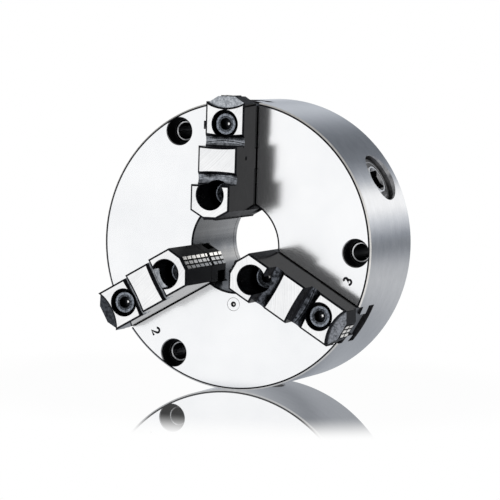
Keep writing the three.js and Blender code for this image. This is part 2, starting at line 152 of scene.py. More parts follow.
def rod(name, profile, at=(0, 0), segments=64, move=None):
    """Solid of stacked circles, (radius, z) from bottom to top."""
    vertices, faces = [], []
    for r, z in profile:
        for i in range(segments):
            a = 2 * math.pi * (i + 0.5) / segments
            vertices.append((at[0] + r * math.cos(a), at[1] + r * math.sin(a), z))
    for k in range(len(profile) - 1):
        for i in range(segments):
            j = (i + 1) % segments
            low, high = k * segments, (k + 1) * segments
            faces.append((low + i, low + j, high + j, high + i))
    last = (len(profile) - 1) * segments
    faces.append(tuple(range(segments))[::-1])
    faces.append(tuple(range(last, last + segments)))
    return make(name, vertices, faces, move)


def prism(name, outline, z0, z1, move=None):
    """The outline (x, y) drawn up from z0 to z1."""
    n = len(outline)
    vertices = [(x, y, z0) for x, y in outline] + [(x, y, z1) for x, y in outline]
    faces = [tuple(range(n))[::-1], tuple(range(n, 2 * n))]
    faces += [(i, (i + 1) % n, n + (i + 1) % n, n + i) for i in range(n)]
    return make(name, vertices, faces, move)


def baked(obj):
    """Apply the modifiers to the mesh."""
    graph = bpy.context.evaluated_depsgraph_get()
    mesh = bpy.data.meshes.new_from_object(obj.evaluated_get(graph))
    obj.modifiers.clear()
    old, obj.data = obj.data, mesh
    bpy.data.meshes.remove(old)
    return obj


def combined(obj, tools, operation):
    """Boolean with each tool in turn; the tools are used up."""
    for tool in tools:
        cut = obj.modifiers.new("cut", "BOOLEAN")
        cut.operation, cut.object, cut.solver = operation, tool, "MANIFOLD"
    baked(obj)
    for tool in tools:
        mesh = tool.data
        bpy.data.objects.remove(tool)
        bpy.data.meshes.remove(mesh)
    return obj


def carved(obj, tools):
    return combined(obj, tools, "DIFFERENCE")


def joined(obj, others):
    """One mesh that holds all of them, each still a closed body."""
    bm = bmesh.new()
    bm.from_mesh(obj.data)
    for other in others:
        bm.from_mesh(other.data)
        mesh = other.data
        bpy.data.objects.remove(other)
        bpy.data.meshes.remove(mesh)
    bm.to_mesh(obj.data)
    bm.free()
    return obj


def painted(obj, rules):
    """Each rule is a material and a test of a face's centre and normal; the first that holds counts."""
    obj.data.materials.clear()
    for material, _ in rules:
        obj.data.materials.append(material)
    for face in obj.data.polygons:
        for index, (_, test) in enumerate(rules):
            if test(face.center, face.normal):
                face.material_index = index
                break
    return obj


def placed(obj, name, where, body, node):
    """Scale to metres, move into the chuck and stand in for the CAD node."""
    obj.data.transform(Matrix.Scale(0.001, 4) @ where)
    obj.data.shade_smooth()
    obj.data.set_sharp_from_angle(angle=math.radians(SHARP_DEGREES))
    obj.name = name
    obj.data.name = name
    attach(obj, body)
    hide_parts(node)


def box_outline(x0, x1, y0, y1):
    return [(x0, y0), (x1, y0), (x1, y1), (x0, y1)]


def ring_outline(radius, sides, turn=0.0):
    """Regular polygon; radius runs to its corners."""
    angles = [turn + 2 * math.pi * i / sides for i in range(sides)]
    return [(radius * math.cos(a), radius * math.sin(a)) for a in angles]


# ------------------------------------------------------------------ materials
def always(centre, normal):
    return True


class Nodes:
    """Small helper around one node tree."""

    def __init__(self, tree):
        self.tree = tree

    def add(self, kind, **inputs):
        """Node with its inputs or properties set; an underscore stands for a space in an input's name."""
        node = self.tree.nodes.new(kind)
        for key, value in inputs.items():
            name = key.replace("_", " ")
            if name in node.inputs:
                node.inputs[name].default_value = value
            else:
                setattr(node, key, value)
        return node

    def link(self, out, into):
        self.tree.links.new(out, into)

    def step(self, value, start, end, low=0.0, high=1.0):
        """Smooth change from low to high while the value runs from start to end."""
        return self.range(value, start, end, low, high, "SMOOTHSTEP")

    def range(self, value, start, end, low=0.0, high=1.0, kind="LINEAR"):
        node = self.add("ShaderNodeMapRange", interpolation_type=kind)
        for key, number in zip(("From Min", "From Max", "To Min", "To Max"), (start, end, low, high)):
            node.inputs[key].default_value = number
        self.link(value, node.inputs["Value"])
        return node.outputs["Result"]

    def math(self, operation, a, b):
        node = self.add("ShaderNodeMath", operation=operation)
        for socket, value in zip(node.inputs, (a, b)):
            if isinstance(value, (int, float)):
                socket.default_value = value
            else:
                self.link(value, socket)
        return node.outputs["Value"]


def metal(name, dark, light, rough, metallic=1.0, mottle=700, contrast=(0.35, 0.65), grain=0.03,
          stretch=(1, 1, 1), line_scale=5000, line_depth=0.1, rings=None, anisotropic=0.0, specular=0.5,
          depth=None):
    """Steel whose colour and roughness vary by noise between dark and light.

    Fine tool marks come from stretched noise, or from rings about the point `rings` in metres.
    depth: y where a painted shade starts, y where it ends, and the factors on the colour at both.
    """
    material = bpy.data.materials.new(name)
    material.use_nodes = True
    tree = material.node_tree
    n = Nodes(tree)
    shader = tree.nodes["Principled BSDF"]
    shader.inputs["Metallic"].default_value = metallic
    shader.inputs["Specular IOR Level"].default_value = specular
    shader.inputs["Anisotropic"].default_value = anisotropic
    shader.inputs["Anisotropic Rotation"].default_value = 0.25 if anisotropic else 0.0
    place = n.add("ShaderNodeTexCoord")
    blotch = n.add("ShaderNodeTexNoise", Scale=mottle, Detail=6.0, Roughness=0.62)
    n.link(place.outputs["Object"], blotch.inputs["Vector"])
    ramp = n.add("ShaderNodeValToRGB")
    ramp.color_ramp.elements[0].position, ramp.color_ramp.elements[1].position = contrast
    ramp.color_ramp.elements[0].color = (*dark, 1)
    ramp.color_ramp.elements[1].color = (*light, 1)
    n.link(blotch.outputs["Fac"], ramp.inputs["Fac"])
    colour = ramp.outputs["Color"]
    if rings:
        away = n.add("ShaderNodeVectorMath", operation="DISTANCE")
        away.inputs[1].default_value = rings
        n.link(place.outputs["Object"], away.inputs[0])
        marks = n.add("ShaderNodeTexNoise", Scale=line_scale, Detail=3.0, Roughness=0.6)
        marks.noise_dimensions = "1D"
        n.link(away.outputs["Value"], marks.inputs["W"])
    else:
        stretched = n.add("ShaderNodeMapping", Scale=stretch)
        n.link(place.outputs["Object"], stretched.inputs["Vector"])
        marks = n.add("ShaderNodeTexNoise", Scale=line_scale, Detail=3.0, Roughness=0.6)
        n.link(stretched.outputs["Vector"], marks.inputs["Vector"])
    tone = n.add("ShaderNodeVectorMath", operation="SCALE")
    n.link(colour, tone.inputs[0])
    n.link(n.range(marks.outputs["Fac"], 0.3, 0.7, 1.0 - grain * 3, 1.0 + grain), tone.inputs["Scale"])
    colour = tone.outputs["Vector"]
    if depth:
        split = n.add("ShaderNodeSeparateXYZ")
        n.link(place.outputs["Object"], split.inputs["Vector"])
        deep = n.add("ShaderNodeVectorMath", operation="SCALE")
        n.link(colour, deep.inputs[0])
        n.link(n.step(split.outputs["Y"], *depth), deep.inputs["Scale"])
        colour = deep.outputs["Vector"]
    n.link(colour, shader.inputs["Base Color"])
    polish = n.range(blotch.outputs["Fac"], 0.3, 0.7, rough * 0.85, rough * 1.15)
    n.link(polish, shader.inputs["Roughness"])
    bump = n.add("ShaderNodeBump", Strength=line_depth, Distance=0.0001)
    n.link(marks.outputs["Fac"], bump.inputs["Height"])
    n.link(bump.outputs["Normal"], shader.inputs["Normal"])
    if anisotropic:
        tangent = n.add("ShaderNodeTangent")
        tangent.direction_type, tangent.axis = "RADIAL", "Y"
        n.link(tangent.outputs["Tangent"], shader.inputs["Tangent"])
    return material


FACE = metal("face_ground", (0.85, 0.862, 0.88), (0.94, 0.947, 0.957), 0.16, mottle=26,
             contrast=(0.32, 0.68), grain=0.015, line_scale=3500, line_depth=0.08)
RIM = metal("rim_turned", (0.53, 0.533, 0.54), (0.575, 0.577, 0.582), 0.17, mottle=220, grain=0.03,
            stretch=(20, 2600, 20), line_scale=1.0, line_depth=0.05, anisotropic=0.45)
EDGE = metal("edge_bright", (0.72, 0.705, 0.68), (0.84, 0.825, 0.8), 0.25, mottle=600)
# near-black chamfers and edge lines: painted shade that draws dark outlines
EDGE_SHADE = metal("painted_shade_edge", (0.006, 0.0065, 0.008), (0.02, 0.021, 0.025), 0.4, mottle=900)
# bore steel darkened as painted shade, darker towards the front face and lighter towards the open rear
BORE_SHADED = metal("bore_steel_painted_shade", (0.2, 0.202, 0.208), (0.31, 0.308, 0.3), 0.27, mottle=120,
             contrast=(0.3, 0.7), grain=0.08, stretch=(700, 8, 700), line_scale=1.0, line_depth=0.12,
             depth=(-0.044, 0.0, 0.52, 1.25))
# dark steel for inner surfaces and slot walls: painted shade
INSIDE_SHADE = metal("machined_painted_shade", (0.06, 0.06, 0.065), (0.12, 0.12, 0.13), 0.42, mottle=400, grain=0.08)
MOUTH = metal("mouth_turned", (0.17, 0.175, 0.185), (0.5, 0.5, 0.51), 0.3, mottle=260, grain=0.12)
# near-black counterbore walls: painted shade in the holes
COUNTERBORE_SHADE = metal("counterbore_painted_shade", (0.01, 0.0105, 0.012), (0.022, 0.023, 0.026), 0.3,
                    mottle=400, grain=0.08)
SEAT = metal("seat_ring", (0.16, 0.165, 0.175), (0.75, 0.76, 0.78), 0.3, mottle=220,
             contrast=(0.42, 0.6))
# near black and dull: painted shade in holes, pinion sockets and the punch mark, and on jaw noses and
# tooth flanks
SHADE_BLACK = metal("painted_shade_black", (0.002, 0.002, 0.003), (0.006, 0.006, 0.008), 0.4, metallic=0.0,
                  specular=0.06, mottle=500, grain=0.08)
# master jaws darkened as painted shade, since they sit in the slots
MASTER_SHADE = metal("master_painted_shade", (0.012, 0.0125, 0.014), (0.026, 0.027, 0.03), 0.3, mottle=350, grain=0.06)
TAIL = metal("jaw_tail_grey", (0.05, 0.052, 0.057), (0.09, 0.093, 0.1), 0.32, mottle=350, grain=0.06)
# bright tooth tops: painted highlights, on the tail as a dull near white
TIP_HIGHLIGHT = metal("serration_tip_highlight", (0.7, 0.675, 0.63), (0.99, 0.965, 0.91), 0.2, mottle=900, grain=0.08)
TAIL_TIP_HIGHLIGHT = metal("tail_tip_highlight", (0.86, 0.83, 0.78), (0.99, 0.97, 0.92), 0.3, metallic=0.0, mottle=900,
                 grain=0.08)
# black oxide of the screws; the same near black is painted shade in the jaws' screw wells
OXIDE_AND_SHADE = metal("black_oxide", (0.007, 0.0075, 0.009), (0.018, 0.019, 0.022), 0.3, mottle=900, grain=0.08)
SCREW_RING = metal("screw_ring", (0.07, 0.078, 0.092), (0.31, 0.34, 0.39), 0.3, mottle=1600,
                   contrast=(0.38, 0.6))
SCREW_TOP = metal("screw_top", (0.02, 0.022, 0.026), (0.15, 0.165, 0.19), 0.35, mottle=1500,
                  contrast=(0.4, 0.65))
PINION = metal("pinion_steel", (0.055, 0.055, 0.055), (0.13, 0.128, 0.125), 0.33, mottle=500, grain=0.06)
PINION_EDGE = metal("pinion_edge", (0.62, 0.62, 0.62), (0.84, 0.84, 0.84), 0.2, mottle=500)
COVER = metal("cover_turned", (0.56, 0.565, 0.575), (0.64, 0.645, 0.655), 0.28, mottle=120,
              contrast=(0.25, 0.75), grain=0.07, rings=(0, 0, 0), line_scale=1100, line_depth=0.25)
# near black in the stamped numerals and the oiler's hole: painted shade
RECESS_SHADE = metal("engraving_painted_shade", (0.008, 0.008, 0.010), (0.03, 0.03, 0.035), 0.45, mottle=900)
SPARE = metal("inner_steel", (0.3, 0.31, 0.32), (0.42, 0.43, 0.44), 0.35, mottle=400)
# bright steel of the oiler ball, also a painted glint at the bottom of the screws' hex sockets
BALL_AND_GLINT = metal("ball_and_painted_glint", (0.9, 0.9, 0.9), (0.97, 0.97, 0.97), 0.08, mottle=300)


def jaw_side(number, k, metallic, specular):
    """Dark flank of one jaw, painted shade; k scales its colour, so each jaw is shaded differently."""
    return metal(f"jaw_side_painted_shade_{number}", (0.024 * k, 0.024 * k, 0.0265 * k),
                 (0.04 * k, 0.0395 * k, 0.0425 * k), 0.12, metallic=metallic, specular=specular,
                 mottle=350, grain=0.06, stretch=(300, 300, 300), line_scale=3.0, line_depth=0.06)


# the upper side of jaw 3 is seen at a grazing angle, where bare metal would shine too much, so that flank
# is painted as dull shade
JAW_SIDE_SHADES = (jaw_side(1, 0.55, 1.0, 0.5), jaw_side(2, 1.0, 1.0, 0.5), jaw_side(3, 0.6, 0.0, 0.05))


def jaw_relief(index):
    """Roughly milled end of a jaw's outer step; its tone differs per jaw as painted light and shade."""
    dark = ((0.24, 0.26, 0.29), (0.02, 0.022, 0.026), (0.1, 0.108, 0.12))[index]
    light = ((0.56, 0.59, 0.63), (0.07, 0.076, 0.088), (0.3, 0.315, 0.35))[index]
    return metal(f"relief_rough_painted_shade_{index + 1}", dark, light, 0.3, mottle=1100, contrast=(0.35, 0.62),
                 grain=0.12, line_scale=2500, line_depth=0.25)


# height over the face of the point that the turning marks of the grooves circle
GROOVE_MARK_HEIGHT = 18


def jaw_groove(index):
    """Turned groove floor with streaks across the jaw; its tone differs per jaw as painted light and
    shade.
    """
    dark = ((0.15, 0.162, 0.182), (0.24, 0.258, 0.285), (0.012, 0.013, 0.016))[index]
    light = ((0.43, 0.456, 0.5), (0.55, 0.58, 0.62), (0.15, 0.163, 0.19))[index]
    return metal(f"groove_turned_painted_shade_{index + 1}", dark, light, 0.28, mottle=700, contrast=(0.38, 0.62),
                 grain=0.3, rings=(0, -(LENGTH + GROOVE_MARK_HEIGHT) / 1000, 0), line_scale=2200,
                 line_depth=0.3)


def jaw_front(index, centre):
    """Ground steps with fine arcs about the centre."""
    return metal(f"jaw_ground_{index}", (0.8, 0.81, 0.825), (0.95, 0.952, 0.955), 0.24, mottle=70,
                 contrast=(0.3, 0.7), grain=0.028, rings=centre, line_scale=1700, line_depth=0.05)


# ------------------------------------------------------------------ chuck body
def jaw_slot(move):
    """Cutter for one T-shaped slot, open at the rim."""
    half, neck = JAW_HALF + GAP, NECK_HALF + GAP
    side = [(half + 0.12, 1.0), (half + 0.12, 0.0), (half, -0.12), (half, -4.2), (neck, -4.2),
            (neck, -10.0), (half, -10.0), (half, -SLOT_FLOOR)]
    outline = side + [(-x, z) for x, z in reversed(side)]
    turned = Matrix(((0, 0, 1, 0), (1, 0, 0, 0), (0, 1, 0, 0), (0, 0, 0, 1)))
    return prism("slot", outline, 8, BODY_R + 4, move @ turned)


def body_tools():
    tools = []
    for angle in JAW_ANGLES:
        tools.append(jaw_slot(HOME.inverted() @ face_frame(angle)))
    # through hole, seat with a raised ring, counterbore with a small chamfer
    bolt = [(3.3, -LENGTH - 1), (3.3, -6.1), (3.7, -5.97), (4.4, -6.12), (4.5, -MOUNT_SEAT),
            (5.25, -MOUNT_SEAT), (5.25, -0.3), (5.55, 0), (5.55, 1)]
    for angle in MOUNT_ANGLES:
        move = HOME.inverted() @ face_frame(angle)
        tools.append(rod("counterbore", bolt, (MOUNT_R, 0), 72, move))
    mouth = [(PINION_BORE_R, CHAMBER_R - 3), (PINION_BORE_R, 51.8), (PINION_BORE_R, BODY_R - 1.15),
             (10.68, BODY_R), (12.7, BODY_R + 2)]
    pin_hole = [(2.3, COVER_SEAT - LENGTH), (2.3, -0.3), (2.6, 0), (2.6, 1)]
    for angle in PINION_ANGLES:
        tools.append(rod("pinion_bore", mouth, (0, 0), 96, HOME.inverted() @ pinion_frame(angle)))
        rear = HOME.inverted() @ rear_frame(angle, PIN_SCREW_R)
        tools.append(rod("pin_hole", pin_hole, (0, 0), 32, rear))
    move = HOME.inverted() @ face_frame(OILER_ANGLE)
    oil = [(2.6, -6.7), (2.6, -0.02), (2.62, 0.0), (2.62, 1)]
    tools.append(rod("oiler_hole", oil, (OILER_R, 0), 48, move))
    for index, angle in enumerate(JAW_ANGLES):
        tools += numeral(index + 1, HOME.inverted() @ face_frame(angle))
    return tools


def stroke(points, width):
    """Outline of a pen line of even width through the points."""
    left, right = [], []
    for i, point in enumerate(points):
        before, after = Vector(points[max(i - 1, 0)]), Vector(points[min(i + 1, len(points) - 1)])
        along = (after - before).normalized()
        side = Vector((-along.y, along.x)) * (width / 2)
        left.append(tuple(Vector(point) + side))
        right.append(tuple(Vector(point) - side))
    return left + right[::-1]


def arc_points(cx, cy, rx, ry, start, end, steps=10):
    """Points on part of an ellipse, between two angles in degrees."""
    angles = [math.radians(start + (end - start) * i / steps) for i in range(steps + 1)]
    return [(cx + rx * math.cos(a), cy + ry * math.sin(a)) for a in angles]


# pen lines of the slot numerals
NUMERALS = {
    1: [[(-0.7, 1.05), (-0.1, 1.5), (0.0, 1.8), (0.0, -1.8)]],
    2: [arc_points(0, 0.75, 1.1, 1.05, 165, -35) + [(-1.15, -1.75), (1.25, -1.75)]],
    3: [arc_points(0, 0.9, 0.95, 0.9, 150, -85) + arc_points(0, -0.85, 1.15, 1.0, 85, -155)],
}


def numeral(number, move):
    """Cutters for a numeral beside its slot; its top points at the chuck's axis."""
    size, pen = 0.88, 1.0
    move = move @ Matrix.Translation((46.0, 14.1, 0)) @ Matrix.Rotation(math.pi / 2, 4, "Z")
    move = move @ Matrix.Diagonal((size, size, 1, 1))
    return [prism("numeral", stroke(line, pen), -0.25, 0.5, move) for line in NUMERALS[number]]


def chuck_body():
    front_edge = [(BODY_R - 1.1, 0), (BODY_R - 0.5, -0.22), (BODY_R, -0.75)]
    rear_edge = [(BODY_R, -LENGTH + 0.9), (BODY_R - 0.9, -LENGTH)]
    inside = [(COVER_RECESS_R, -LENGTH), (COVER_RECESS_R, -COVER_SEAT), (CHAMBER_R, -COVER_SEAT),
              (CHAMBER_R, -FRONT_WALL), (HUB_R, -FRONT_WALL), (HUB_R, -COVER_SEAT), (BORE_R, -COVER_SEAT)]
    body = revolve("body", [(BORE_R, -0.3), (BORE_R + 0.75, 0)] + front_edge + rear_edge + inside, 256)
    carved(body, body_tools())
    holes = [(MOUNT_R * math.cos(math.radians(a)), MOUNT_R * math.sin(math.radians(a)))
             for a in MOUNT_ANGLES]

    def radius(c):
        return math.hypot(c.x, c.y)

    def hole(c):
        """Distance from the axis of the nearest mounting hole."""
        return min(math.hypot(c.x - x, c.y - y) for x, y in holes)

    def rim(c, n):
        return radius(c) > BODY_R - 0.15 and abs(n.z) < 0.2 and (n.x * c.x + n.y * c.y) > 0

    def edge(c, n):
        return radius(c) > BODY_R - 1.0 and 0.2 <= abs(n.z) < 0.98

    # painted shade: a dark line on the inner part of the front chamfer
    def edge_line(c, n):
        return BODY_R - 1.12 < radius(c) < BODY_R - 0.5 and -0.22 < c.z < -0.01

    # painted shade on the bore's chamfer
    def bore_line(c, n):
        return BORE_R < radius(c) < BORE_R + 0.75 and -0.35 < c.z < 0 and n.z > 0.3

    def mouth(c, n):
        return 51.5 < radius(c) < BODY_R - 0.02 and -LENGTH + 3 < c.z < -SLOT_FLOOR - 0.1

    # painted shade in the stamped numerals
    def struck(c, n):
        deep = -0.3 < c.z < -0.2 and n.z > 0.98
        return 40 < radius(c) < 54 and (deep or (-0.3 < c.z < -0.01 and abs(n.z) < 0.98))

    painted(body, [
        (RIM, rim),
        (FACE, lambda c, n: n.z > 0.99 and c.z > -0.01),
        (COVER, lambda c, n: n.z < -0.99 and c.z < -LENGTH + 0.01),
        (MOUTH, mouth),
        (EDGE_SHADE, edge_line),
        (EDGE, edge),
        (EDGE_SHADE, bore_line),
        (SEAT, lambda c, n: 3.3 < hole(c) < 3.69 and -6.11 < c.z < -5.97 and n.z > 0.8),
        (MOUTH, lambda c, n: 4.38 < hole(c) < 4.52 and -6.13 < c.z < -5.99 and n.z > 0.3),
        # painted shade in the through holes
        (SHADE_BLACK, lambda c, n: hole(c) < 3.4),
        (MOUTH, lambda c, n: 5.2 < hole(c) < 5.6 and c.z > -0.31),
        # painted shade on the counterbore walls
        (COUNTERBORE_SHADE, lambda c, n: hole(c) < 5.3 and c.z < -0.3),
        (RECESS_SHADE, struck),
        # painted shade in the bore, darker towards the front
        (BORE_SHADED, lambda c, n: radius(c) < BORE_R + 0.6 and (n.x * c.x + n.y * c.y) < 0.1),
        (EDGE, lambda c, n: c.z > -0.13 and radius(c) < BODY_R - 0.1 and 0.2 < n.z < 0.9),
        # painted shade on the slot walls and inner surfaces
        (INSIDE_SHADE, always)])
    placed(body, "chuck_body_finish", HOME, "chuck", "chuck_body")


# ------------------------------------------------------------------ jaws
def inset(outline, width):
    """The outline moved inwards by width; its points run counter-clockwise."""
    moved = []
    n = len(outline)
    for i in range(n):
        here = Vector(outline[i])
        before = (here - Vector(outline[i - 1])).normalized()
        after = (Vector(outline[(i + 1) % n]) - here).normalized()
        inwards = Vector((-before.y, before.x)) + Vector((-after.y, after.x))
        inwards *= 1 / max(0.3, inwards.length_squared / 2)
        moved.append(tuple(here + inwards * width))
    return moved


def block(name, outline, z0, z1):
    """Prism with a chamfer round its top, later painted near black as painted shade; the outline of each
    ground step.
    """
    area = sum(p[0] * q[1] - q[0] * p[1] for p, q in zip(outline, outline[1:] + outline[:1]))
    if area < 0:
        outline = outline[::-1]
    n = len(outline)
    rings = [(outline, z0), (outline, z1 - CHAMFER_DEPTH), (inset(outline, CHAMFER_WIDTH), z1)]
    vertices = [(x, y, z) for ring, z in rings for x, y in ring]
    faces = [tuple(range(n))[::-1], tuple(range(2 * n, 3 * n))]
    for k in (0, n):
        faces += [(k + i, k + (i + 1) % n, k + n + (i + 1) % n, k + n + i) for i in range(n)]
    return make(name, vertices, faces)


def groove(name, x0, x1, low, high, steps=14):
    """Cutter for a hollow-floored groove across the jaw."""
    middle, half = (x0 + x1) / 2, (x1 - x0) / 2
    xs = [x0 + (x1 - x0) * i / steps for i in range(steps + 1)]
    section = [(x, low + (high - low) * ((x - middle) / half) ** 2) for x in xs]
    section += [(x1, high + 0.6), (x0, high + 0.6)]
    turned = Matrix(((1, 0, 0, 0), (0, 0, -1, 0), (0, 1, 0, 0), (0, 0, 0, 1)))
    return prism(name, section, -9, 9, turned)


def across(x, bulge, half, steps=16):
    """Points across the jaw at x, bowed by bulge in the middle."""
    ys = [-half + 2 * half * i / steps for i in range(steps + 1)]
    return [(x + bulge * max(0.0, 1 - (y / JAW_HALF) ** 2), y) for y in ys]


def mirrored(points):
    """The points, then the same on the jaw's other side, as one outline."""
    return points + [(x, -y) for x, y in reversed(points)]


def tooth(r_base, r_tip, w, h, length, width):
    """Small square-topped tooth on the nose or tail flat; its tip follows a hollow arc."""
    towards = 1 if r_tip > r_base else -1
    low, high = h - length / 2, h + length / 2

    arc_diameter = 36

    def tip(y):
        return r_tip + towards * y * y / arc_diameter

    left, right = w - width / 2, w + width / 2
    base = [(r_base, left, low), (r_base, right, low), (r_base, right, high), (r_base, left, high)]
    left, right, low, high = left + width * 0.12, right - width * 0.12, low + 0.22, high - 0.22
    top = [(tip(y), y, z) for y, z in ((left, low), (right, low), (right, high), (left, high))]
    sides = [(0, 1, 5, 4), (1, 2, 6, 5), (2, 3, 7, 6), (3, 0, 4, 7)]
    return make("tooth", base + top, [(0, 1, 2, 3), (4, 5, 6, 7)] + sides)


def serrations(r_base, r_tip, low, high, top):
    """Three rows of teeth counted down from the height top, kept between low and high."""
    pitch, width, shortest = 4.02, 1.62, 0.9
    teeth = []
    for w in (-1.9, 0.0, 1.9):
        h = top - pitch / 2
        while h > low - pitch / 2:
            bottom, upper = max(h - pitch * 0.44, low), min(h + pitch * 0.44, high)
            if upper - bottom > shortest:
                teeth.append(tooth(r_base, r_tip, w, (bottom + upper) / 2, upper - bottom, width))
            h -= pitch
    return teeth


def toothed(jaw, teeth):
    """Join teeth to a jaw: painted highlight on top, painted shade on the flanks."""
    nose_tip_highlight = len(jaw.data.materials)
    flank, tail_tip_highlight = nose_tip_highlight + 1, nose_tip_highlight + 2
    for material in (TIP_HIGHLIGHT, SHADE_BLACK, TAIL_TIP_HIGHLIGHT):
        jaw.data.materials.append(material)
    for piece in teeth:
        # the same slots as the jaw's, because joining keeps the numbers
        for material in jaw.data.materials:
            piece.data.materials.append(material)
        for face in piece.data.polygons:
            # painted highlight on the tooth tops, painted shade on the flanks
            if face.normal.x > 0.9:
                face.material_index = tail_tip_highlight
            else:
                face.material_index = nose_tip_highlight if face.normal.x < -0.9 else flank
    joined(jaw, teeth)


def jaw_tools():
    """Cutters for a top jaw: the key gap below, hollow ledges, two screw wells and a punch mark."""
    gap_in, gap_out = KEY_START + KEY_PLAY, KEY_END - KEY_PLAY
    inner = [(2.8, -1), (2.8, INNER_SEAT), (5.5, INNER_SEAT), (5.5, 24.45), (5.88, 24.85), (5.88, 26)]
    outer = [(2.8, -1), (2.8, OUTER_SEAT), (5.2, OUTER_SEAT), (5.2, 12.6), (5.55, 12.95), (5.55, 14)]
    flank = Matrix(((1, 0, 0, PUNCH_X), (0, 0, -1, -JAW_HALF), (0, 1, 0, PUNCH_Z), (0, 0, 0, 1)))
    return [
        prism("key_in", box_outline(0, gap_in, -9, 9), -1, SEAM),
        prism("key_out", box_outline(gap_out, 70, -9, 9), -1, SEAM),
        groove("groove_one", 24.4, 28.6, LEDGE_INNER - 0.75, LEDGE_INNER),
        groove("groove_two", 38.4, 42.8, LEDGE_OUTER - 0.75, LEDGE_OUTER),
        rod("inner_well", inner, (INNER_SCREW_R, 0), 72),
        rod("outer_well", outer, (OUTER_SCREW_R, 0), 72),
        rod("punch", [(0.15, -1.1), (PUNCH_R, 0.0), (PUNCH_R, 1)], (0, 0), 24, flank)]


def top_jaw(index, angle):
    # the fine arcs on the ground steps circle a point far from the jaw, as in the picture
    centre = ((95, 60, 20), (57, -86, 20), (-44, -45, 20))[index]
    front = jaw_front(index + 1, tuple(Matrix.Scale(0.001, 4) @ face_frame(angle) @ Vector(centre)))
    # ledge and groove tones set per jaw: painted light and shade
    rough, turned = jaw_relief(index), jaw_groove(index)
    # the flats stand back, so that the teeth reach the true nose and tail
    nose, tail = NOSE_R + NOSE_TOOTH, TAIL_R - TAIL_TOOTH
    slope_out = (JAW_HALF - TAIL_HALF) / (TAIL_R - TAIL_SHOULDER)
    outline = mirrored([(nose, NOSE_HALF + NOSE_TOOTH * NOSE_SLOPE), (NOSE_SHOULDER, JAW_HALF),
                        (TAIL_SHOULDER, JAW_HALF), (tail, TAIL_HALF + TAIL_TOOTH * slope_out)])
    jaw = prism("jaw", outline, 0.3, 11.7)
    half = JAW_HALF
    arc = [(69.3 - math.sqrt(256 - y * y), y) for y in [-half + half * i / 12 for i in range(25)]]
    inner = [(24.4, -half), (24.4, half), (NOSE_SHOULDER, half), outline[0], outline[-1],
             (NOSE_SHOULDER, -half)]
    combined(jaw, [
        block("inner", inner, 5, STEP_INNER),
        prism("ledge_one", across(23, 0, half) + across(30, 0, half)[::-1], 5, LEDGE_INNER),
        block("middle", across(28.2, 0.4, half) + across(38.8, -0.4, half)[::-1], 5, STEP_MIDDLE),
        prism("ledge_two", across(38, 0, half) + across(44, 0, half)[::-1], 5, LEDGE_OUTER),
        block("outer", across(42.8, -0.5, half) + arc[::-1], 5, STEP_OUTER)], "UNION")
    carved(jaw, jaw_tools())

    def front_face(c, n):
        middle = abs(c.z - STEP_MIDDLE) < 0.06
        outer = abs(c.z - STEP_OUTER) < 0.06 and c.x > 42
        return n.z > 0.97 and (c.z > STEP_INNER - 0.1 or middle or outer)

    def relief(c, n):
        return n.z > 0.6 and 11.6 < c.z < 12 and c.x > 43

    def hollow(c, n):
        return n.z > 0.6 and ((11.6 < c.z < 12.6 and c.x < 43) or 17 < c.z < 18.6)

    # painted shade at the ends of the hollows
    def hollow_end(c, n):
        x0, x1 = (24.4, 28.6) if c.z > 15 else (38.6, 42.8)
        return hollow(c, n) and not x0 + 0.35 < c.x < x1 - 0.75

    # painted shade in the punch mark
    def punch(c, n):
        near = math.hypot(c.x - PUNCH_X, c.z - PUNCH_Z) < PUNCH_R
        return c.y < -JAW_HALF + 1.15 and near and abs(n.y) < 0.98

    # painted shade: the screw wells are coloured like black oxide
    def well_shade(c, n):
        return math.hypot(c.x - INNER_SCREW_R, c.y) < 5.6 or math.hypot(c.x - OUTER_SCREW_R, c.y) < 5.3

    # painted shade on the chamfers round the ground steps
    def edge(c, n):
        return 0.1 < n.z < 0.97 and c.z > 12.3

    # painted shade on the jaw's nose and tail ends
    def bevelled(c, n):
        return c.x < NOSE_SHOULDER - 0.1 or c.x > TAIL_SHOULDER + 0.1

    painted(jaw, [
        (front, front_face), (rough, relief), (EDGE_SHADE, hollow_end), (turned, hollow),
        (EDGE_SHADE, edge), (SHADE_BLACK, punch), (OXIDE_AND_SHADE, well_shade), (SHADE_BLACK, bevelled),
        # painted shade on the flanks, darker on some jaws than on others
        (JAW_SIDE_SHADES[index], always)])
    nose_teeth = serrations(nose + 0.05, NOSE_R - 0.05, 2.2, 24.6, TOOTH_TOP)
    tail_teeth = serrations(tail - 0.05, TAIL_R - 0.23, 2.3, 11.4, 11.4)
    toothed(jaw, nose_teeth + tail_teeth)
    placed(jaw, f"top_jaw_{index + 1}_finish", face_frame(angle), f"jaw_{index + 1}",
           f"top_jaw_{index + 1}")


def scroll_gaps(angle):
    """Cutters between the crescent teeth that run in the scroll's thread."""
    # the spiral stands 24 mm out at angle 0; hollow sides are flatter than round ones
    spiral = 24 + SCROLL_PITCH * angle / 360
    gap_outer, gap_inner = 27.2, 43.1
    lands = [spiral + SCROLL_PITCH / 2 + SCROLL_PITCH * k for k in range(-3, 7)]
    lands = [r for r in lands if NOSE_SHOULDER + 2.2 < r < 53.3]
    ys = [-9 + 18 * i / 24 for i in range(25)]
    lead = 0.0241

    def arc(radius, y):
        return math.sqrt(radius * radius - y * y) - radius + lead * y

    tools = []
    for before, after in [(None, lands[0])] + list(zip(lands, lands[1:])) + [(lands[-1], None)]:
        inner, outer = [(9, y) for y in ys], [(58, y) for y in ys]
        if before is not None:
            inner = [(before + 1 + arc(gap_outer, y), y) for y in ys]
        if after is not None:
            outer = [(after - 1 + arc(gap_inner, y), y) for y in ys]
        tools.append(prism("tooth_gap", inner + outer[::-1], -16, -11.2))
    return tools


